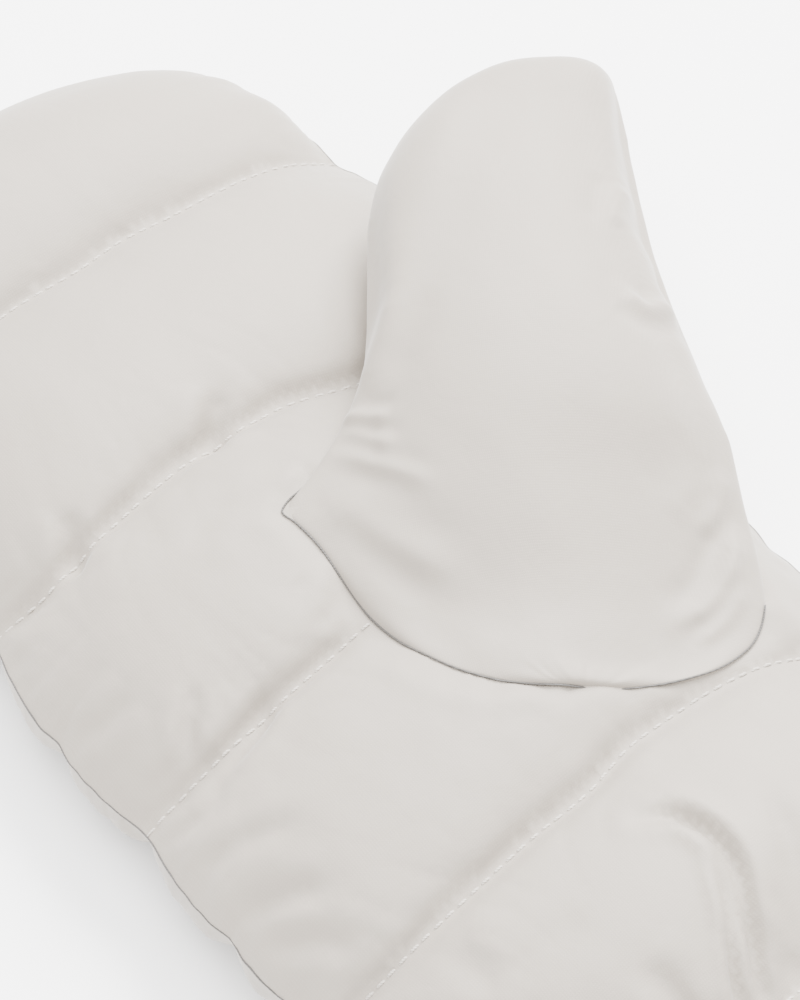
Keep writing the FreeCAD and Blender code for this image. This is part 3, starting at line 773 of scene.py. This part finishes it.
def stitches(name, rows):
    """One piece with the stitches of several rows."""
    points, faces = [], []
    for path, normals in rows:
        p, f = stitch_row(path, normals)
        faces += [tuple(i + len(points) for i in face) for face in f]
        points += p
    return smooth_piece(name, points, faces, np.array(points)[:, :2])


palm_stitches = stitches("palm_quilt_stitches", [fine_row(y, on_palm) for y in PALM_LINES])
back_stitches = stitches("back_quilt_stitches", [fine_row(y, on_back) for y in BACK_LINES])
elastic_hand = stitches("elastic_stitches_hand", [fine_row(ELASTIC[0], p) for p in (on_palm, on_back)])
elastic_cuff = stitches("elastic_stitches_cuff", [fine_row(ELASTIC[1], p) for p in (on_palm, on_back)])


def seam_shadow_cord(name, path, radius):
    """The thin dark line of a seam. It stands in for the shadow between two edges of cloth."""
    path = curve(path, 4 * len(path))
    ahead = unit(np.gradient(path, axis=0))
    side = unit(np.cross(ahead, [0, 0, 1.0]))
    top = np.cross(side, ahead)
    thick = radius * (1 + 0.3 * lumps(path, 6, 71))[:, None]
    sides = 6
    turns = [2 * math.pi * k / sides for k in range(sides)]
    rings = [path + thick * (math.cos(a) * side + math.sin(a) * top) for a in turns]
    points = np.stack(rings, 1).reshape(-1, 3)
    return smooth_piece(name, points, tube(len(path), sides, capped=True), points[:, :2])


rim_row, rim_flat = fine[on_palm & on_back], fine_flat[on_palm & on_back]
order = np.argsort(np.arctan2(rim_flat[:, 0], rim_flat[:, 1]))
rim_row, rim_flat = rim_row[order], rim_flat[order]
hand_rim = (rim_flat[:, 1] > CUFF_FROM) & (rim_flat[:, 1] < 112)
# Dark cords in the side seams and the gusset seam: painted shadow in the seams' creases, not thread.
side_seam_shadows = [
    seam_shadow_cord(f"side_seam_painted_shadow_{where}", rim_row[hand_rim & (rim_flat[:, 0] * sign > 0)][::2], radius)
    for where, sign, radius in (("left", -1, 0.18), ("right", 1, 0.11))
]
gusset_seam_shadow = seam_shadow_cord("gusset_seam_painted_shadow", seen_seam + [0, 0, 0.5], 0.18)

# ---- lining, elastic and the binding at the cuff's end

SLEEVE_TURNS = 72


def sleeve(stations, n_turn=SLEEVE_TURNS, inward=True, wave=0.25):
    """A tube of soft cloth through oval stations: (along, half width, rise, drop)."""
    table = np.array(stations, float)
    at = np.arange(table[0, 0], table[-1, 0] + 0.01, 2.2)
    a = np.linspace(0, 2 * np.pi, n_turn, endpoint=False)
    points, uv = [], []
    for y in at:
        wide, rise, drop = (smooth_table(table[:, 0], table[:, k], y) for k in (1, 2, 3))
        z = np.where(np.sin(a) > 0, rise, drop) * np.sin(a)
        points.append(np.stack([wide * np.cos(a), np.full(n_turn, y), SEAM_Z + z], 1))
        uv.append(np.stack([a * 35, np.full(n_turn, y)], 1))
    points, uv = np.concatenate(points), np.concatenate(uv)
    out = points - [0, 0, SEAM_Z]
    out[:, 1] = 0
    points = points + unit(out) * (wave * lumps(points, 5, 51) + 1.6 * wave * lumps(points, 13, 52))[:, None]
    faces = tube(len(at), n_turn)
    return points, faces if inward else [quad[::-1] for quad in faces], uv


CUFF_LINING = [
    (-160.5, 52, 13.5, 12), (-150, 52.5, 14.5, 12.5), (-130, 51, 14, 12), (-112, 43, 12, 11),
    (-96, 36.5, 9.2, 9.2),
]
HAND_LINING = [
    (-97.5, 36.5, 9.2, 9.2), (-84, 38, 10, 9.6), (-68, 45, 12.3, 11), (-45, 48.5, 13, 11.4),
    (45, 49.5, 13, 11.4), (90, 47.5, 12.2, 10.8), (106, 40, 11, 9.6), (114, 29, 8.4, 7.4),
    (118.5, 15, 4.6, 4), (120.5, 3, 1, 1),
]
# along the thumb: half width, height above and below the axis, and how far to the right
THUMB_LINING = [
    (12, 11, 4, 5, 0), (18, 15, 7.5, 7, 0), (26, 16.5, 9.5, 7.8, 0), (40, 16.5, 10.6, 7.8, -1),
    (60, 15, 10, 7.4, -2), (78, 12.5, 8.6, 6.4, -2), (87, 8, 6, 4.4, -1), (91, 2, 1.4, 1, 0),
]

cuff_lining = smooth_piece("cuff_lining_cloth", *sleeve(CUFF_LINING))
points, faces, uv = sleeve(HAND_LINING)
faces.append(ring_points(len(faces) // SLEEVE_TURNS, SLEEVE_TURNS))
hand_lining = smooth_piece("hand_lining_cloth", points, faces, uv)

lining_turns = 48
a = np.linspace(0, 2 * np.pi, lining_turns, endpoint=False)
lining_rings = []
for along, wide, rise, drop, mid in THUMB_LINING:
    up = np.where(np.sin(a) > 0, rise, drop) * np.sin(a)
    lining_rings.append(np.stack([np.full(lining_turns, along), mid + wide * np.cos(a), up], 1))
faces = tube(len(THUMB_LINING), lining_turns) + [ring_points(len(THUMB_LINING) - 1, lining_turns)]
points, faces, _, _ = subdivided(to_hand(np.concatenate(lining_rings)), faces, None)
thumb_lining = smooth_piece("thumb_lining_cloth", points, faces, points[:, :2])

ELASTIC_BAND = [(-99, 38.4, 11, 11), (-87, 38.4, 11, 11)]
elastic_band = smooth_piece("wrist_elastic_band", *sleeve(ELASTIC_BAND, 160, False, 0.05))


def outline_at(y, n=320):
    """The closed outline of the outer cloth across the mitten, seen along it, and its normals."""
    ring = fine[np.abs(fine_flat[:, 1] - y) < 0.05]
    angle = np.arctan2((ring[:, 2] - SEAM_Z) * 2.5, ring[:, 0])
    at = np.linspace(-np.pi, np.pi, n, endpoint=False)
    loop = np.stack([np.interp(at, angle, ring[:, k], period=2 * np.pi) for k in (0, 2)], 1)
    for _ in range(4):
        loop = (np.roll(loop, 1, 0) + 2 * loop + np.roll(loop, -1, 0)) / 4
    ahead = np.roll(loop, -1, 0) - np.roll(loop, 1, 0)
    normal = np.stack([ahead[:, 1], -ahead[:, 0]], 1)
    return loop, unit(normal)


hem_loop, hem_normal = outline_at(HEM)


def binding_tape():
    """Folded tape round the cuff's end, over the edges of the outer cloth and the lining."""
    n = len(hem_loop)
    profile = [(0.3, 6.2), (1.0, 5.9), (1.35, 4.6), (1.4, 2.2), (1.2, 0.2), (0.3, -1.1), (-1.6, -1.5),
               (-3.8, -1.4), (-4.7, -0.9), (-5.0, 0.4), (-5.1, 2.6), (-5.0, 5.0), (-4.5, 5.8), (-3.6, 6.0)]
    around = run_along(hem_loop)
    points, uv = [], []
    for j, (out, up) in enumerate(profile):
        wave = 0.25 * lumps(np.stack([around, 0 * around + 3 * j, 0 * around], 1), 5, 61)
        spot = hem_loop + (out + wave)[:, None] * hem_normal
        points.append(np.stack([spot[:, 0], np.full(n, HEM - 4.4 + up), spot[:, 1]], 1))
        uv.append(np.stack([around, np.full(n, up + out)], 1))
    return np.concatenate(points), tube(len(profile), n), np.concatenate(uv)


hem_tape = smooth_piece("hem_binding_tape", *binding_tape())
stitch_loop = np.roll(hem_loop + 1.5 * hem_normal, 7, 0)
rim = np.stack([stitch_loop[:, 0], np.full(len(hem_loop), HEM - 0.4), stitch_loop[:, 1]], 1)
rim_up = np.roll(np.stack([hem_normal[:, 0], 0 * hem_normal[:, 0], hem_normal[:, 1]], 1), 7, 0)
hem_stitches = stitches("hem_stitches", [(rim, rim_up)])


# ---- materials

def new_material(name):
    """An empty node material, its tree and its shader."""
    mat = bpy.data.materials.new(name)
    mat.use_nodes = True
    tree = mat.node_tree
    return mat, tree, next(n for n in tree.nodes if n.type == "BSDF_PRINCIPLED")


def set_inputs(node, **values):
    """Sets inputs of a node by name, with _ for each space."""
    for name, value in values.items():
        node.inputs[name.replace("_", " ")].default_value = value


def texture(tree, kind, where, direction=None, **values):
    """The strength of a Noise or Wave texture at the places given."""
    node = tree.nodes.new(f"ShaderNodeTex{kind}")
    if direction:
        node.bands_direction = direction
    set_inputs(node, **values)
    tree.links.new(where, node.inputs["Vector"])
    return node.outputs["Fac"]


def maths(tree, operation, *values):
    """The result of a maths node on numbers and other nodes' outputs."""
    node = tree.nodes.new("ShaderNodeMath")
    node.operation = operation
    for socket, value in zip(node.inputs, values):
        if isinstance(value, float):
            socket.default_value = value
        else:
            tree.links.new(value, socket)
    return node.outputs[0]


def tint(tree, shader, share, shade, colour):
    """Colours the shader between a shade and a colour."""
    mix = tree.nodes.new("ShaderNodeMixRGB")
    set_inputs(mix, Color1=(*shade, 1), Color2=(*colour, 1))
    tree.links.new(share, mix.inputs["Fac"])
    tree.links.new(mix.outputs["Color"], shader.inputs["Base Color"])


def raised(tree, shader, *layers):
    """Bumps the surface by layers of (height, depth in millimetres), one on another."""
    normal = None
    for height, depth in layers:
        node = tree.nodes.new("ShaderNodeBump")
        set_inputs(node, Strength=1, Distance=depth * MM)
        tree.links.new(height, node.inputs["Height"])
        if normal is not None:
            tree.links.new(normal, node.inputs["Normal"])
        normal = node.outputs["Normal"]
    tree.links.new(normal, shader.inputs["Normal"])


def woven(name, colour, shade, pitch=0.42, weave_depth=0.012, rough=0.62):
    """Fine plain-woven cloth: threads both ways, slubs, soft crumples and shade variation."""
    mat, tree, shader = new_material(name)
    pattern = tree.nodes.new("ShaderNodeUVMap")
    pattern.uv_map = "cloth"
    at = tree.nodes.new("ShaderNodeTexCoord").outputs["Object"]
    thread_wave = {"Scale": 100 / pitch / 6.2832 * 2, "Distortion": 1.2, "Detail": 1, "Detail_Scale": 0.6}
    threads = [texture(tree, "Wave", pattern.outputs["UV"], way, **thread_wave) for way in ("X", "Y")]
    weave = maths(tree, "MULTIPLY", *threads)
    slubs = texture(tree, "Noise", at, Scale=900, Detail=3)
    broad = texture(tree, "Noise", at, Scale=28, Detail=4)
    crumples = texture(tree, "Noise", at, Scale=190, Detail=3, Roughness=0.45, Distortion=0.6)
    share = maths(tree, "MULTIPLY_ADD", weave, 0.5, maths(tree, "MULTIPLY", broad, 0.9))
    tint(tree, shader, share, shade, colour)
    raised(tree, shader, (crumples, 0.12), (slubs, 0.03), (weave, weave_depth))
    set_inputs(shader, Roughness=rough, Specular_IOR_Level=0.32, Sheen_Weight=0.25, Sheen_Roughness=0.4)
    return mat


def knit(name, colour, shade):
    """Brushed knit: a short matted pile in soft clumps."""
    mat, tree, shader = new_material(name)
    at = tree.nodes.new("ShaderNodeTexCoord").outputs["Object"]
    pile = texture(tree, "Noise", at, Scale=1400, Detail=5)
    clumps = texture(tree, "Noise", at, Scale=260, Detail=3)
    share = maths(tree, "MULTIPLY", maths(tree, "ADD", pile, clumps), 0.5)
    tint(tree, shader, share, shade, colour)
    raised(tree, shader, (share, 0.35))
    set_inputs(shader, Roughness=0.95, Sheen_Weight=0.5)
    return mat


def twisted(name, colour, shade):
    """Sewing thread, with a fine twist; made near black, it is also the painted shadow in the seams."""
    mat, tree, shader = new_material(name)
    at = tree.nodes.new("ShaderNodeTexCoord").outputs["Object"]
    twist = texture(tree, "Wave", at, "DIAGONAL", Scale=900, Distortion=2)
    tint(tree, shader, twist, shade, colour)
    raised(tree, shader, (twist, 0.05))
    set_inputs(shader, Roughness=0.55, Sheen_Weight=0.2)
    return mat


NYLON = woven("nylon", (0.318, 0.282, 0.241), (0.284, 0.251, 0.214))
TAPE = woven("tape", (0.31, 0.275, 0.236), (0.26, 0.232, 0.20), pitch=0.7, weave_depth=0.05, rough=0.7)
ELASTIC_WEB = woven(
    "elastic_web", (0.41, 0.375, 0.335), (0.28, 0.253, 0.225), pitch=1.1, weave_depth=0.12, rough=0.8
)
FLEECE = knit("fleece", (0.29, 0.262, 0.232), (0.21, 0.189, 0.166))
THREAD = twisted("thread", (0.48, 0.44, 0.392), (0.36, 0.328, 0.29))
# The shade deep in a seam: the cords that have it stand in for shadow, not for dark thread.
SEAM_SHADE = twisted("painted_seam_shadow", (0.07, 0.063, 0.056), (0.045, 0.04, 0.036))
for obs, mat, slot in (
    ((palm_cloth, back_cloth, cuff_palm, cuff_back, thumb_cloth), NYLON, "shell_cloth"),
    ((palm_stitches, back_stitches, elastic_hand, elastic_cuff, hem_stitches), THREAD, "thread"),
    # the dark seam cords: painted shadow, not thread
    ((*side_seam_shadows, gusset_seam_shadow), SEAM_SHADE, "thread"),
    ((cuff_lining, hand_lining, thumb_lining), FLEECE, "lining_cloth"),
    ((elastic_band,), ELASTIC_WEB, "elastic"),
    ((hem_tape,), TAPE, "binding"),
):
    for ob in obs:
        ob.data.materials.clear()
        ob.data.materials.append(mat)

# ---- stage, light and camera

FLOOR_HALF = 3000
floor_corners = FLOOR_HALF * np.array([(-1, -1, 0), (1, -1, 0), (1, 1, 0), (-1, 1, 0)])
floor = make_mesh("floor", floor_corners, [(0, 1, 2, 3)])
paper, _, paper_shader = new_material("paper")
set_inputs(paper_shader, Base_Color=(0.93, 0.93, 0.93, 1), Roughness=0.9)
floor.data.materials.append(paper)


def lamp(name, at, towards, size, watts):
    """A square soft light."""
    data = bpy.data.lights.new(name, "AREA")
    data.shape = "SQUARE"
    data.size = size
    data.energy = watts
    ob = bpy.data.objects.new(name, data)
    bpy.context.scene.collection.objects.link(ob)
    ob.location = at
    ob.rotation_mode = "QUATERNION"
    ob.rotation_quaternion = (Vector(towards) - Vector(at)).to_track_quat("-Z", "Y")


lamp("key", (0.78, 0.4, 0.98), (0, 0, 0.02), 0.7, 74)
lamp("top", (-0.12, -0.14, 1.3), (0, 0, 0), 1.0, 40)
world = bpy.data.worlds.new("studio")
bpy.context.scene.world = world
world.use_nodes = True
set_inputs(world.node_tree.nodes["Background"], Color=(1, 1, 1, 1), Strength=2.6)

camera = bpy.data.objects.new("camera", bpy.data.cameras.new("camera"))
bpy.context.scene.collection.objects.link(camera)
yaw, lift = math.radians(39.4), math.radians(55.3)
right = Vector((math.cos(yaw), -math.sin(yaw), 0))
up = Vector((math.sin(yaw) * math.sin(lift), math.cos(yaw) * math.sin(lift), math.cos(lift)))
back = right.cross(up)
looked_at, distance, aside, above = Vector((0, 0, 0.025)), 0.4884, -0.0045, 0.019
camera.location = looked_at + back * distance + right * aside + up * above
camera.rotation_mode = "QUATERNION"
camera.rotation_quaternion = back.to_track_quat("Z", "Y")
camera.data.lens = 108
camera.data.clip_start = 0.01
bpy.context.scene.camera = camera

# ---- what moves with what

for ob in (palm_cloth, back_cloth, palm_stitches, back_stitches, *side_seam_shadows, hand_lining):
    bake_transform(ob)
for ob in (cuff_palm, cuff_back, elastic_cuff, cuff_lining):
    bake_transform(ob)
for ob in (thumb_cloth, gusset_seam_shadow, thumb_lining):
    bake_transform(ob)
for ob in (elastic_hand, elastic_band):
    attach(ob, "hand")
for ob in (hem_tape, hem_stitches):
    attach(ob, "cuff")

names = list(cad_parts)


def starting(*starts):
    """The CAD nodes whose names start with any of these."""
    return [n for n in names if n.startswith(starts)]


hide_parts(*starting("palm_shell", "palm_fill", "tip_palm_shell", "tip_palm_fill"))
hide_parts(*starting("back_shell", "back_fill", "tip_back_shell", "tip_back_fill"))
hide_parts(*starting("thumb_front_shell", "thumb_front_fill", "thumb_back_shell",
                                   "thumb_back_fill", "gusset_shell", "gusset_fill"))
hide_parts("cuff_palm_shell", "cuff_palm_fill", "wrist_gather_palm")
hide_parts("cuff_back_shell", "cuff_back_fill", "wrist_gather_back")
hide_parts(*starting("quilt_thread"))
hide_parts(*starting("palm_lining", "back_lining", "tip_palm_lining", "tip_back_lining"))
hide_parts(*starting("thumb_front_lining", "thumb_back_lining", "gusset_lining"))
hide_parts("cuff_palm_lining", "cuff_back_lining")
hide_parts("wrist_elastic")
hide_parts("hem_binding")
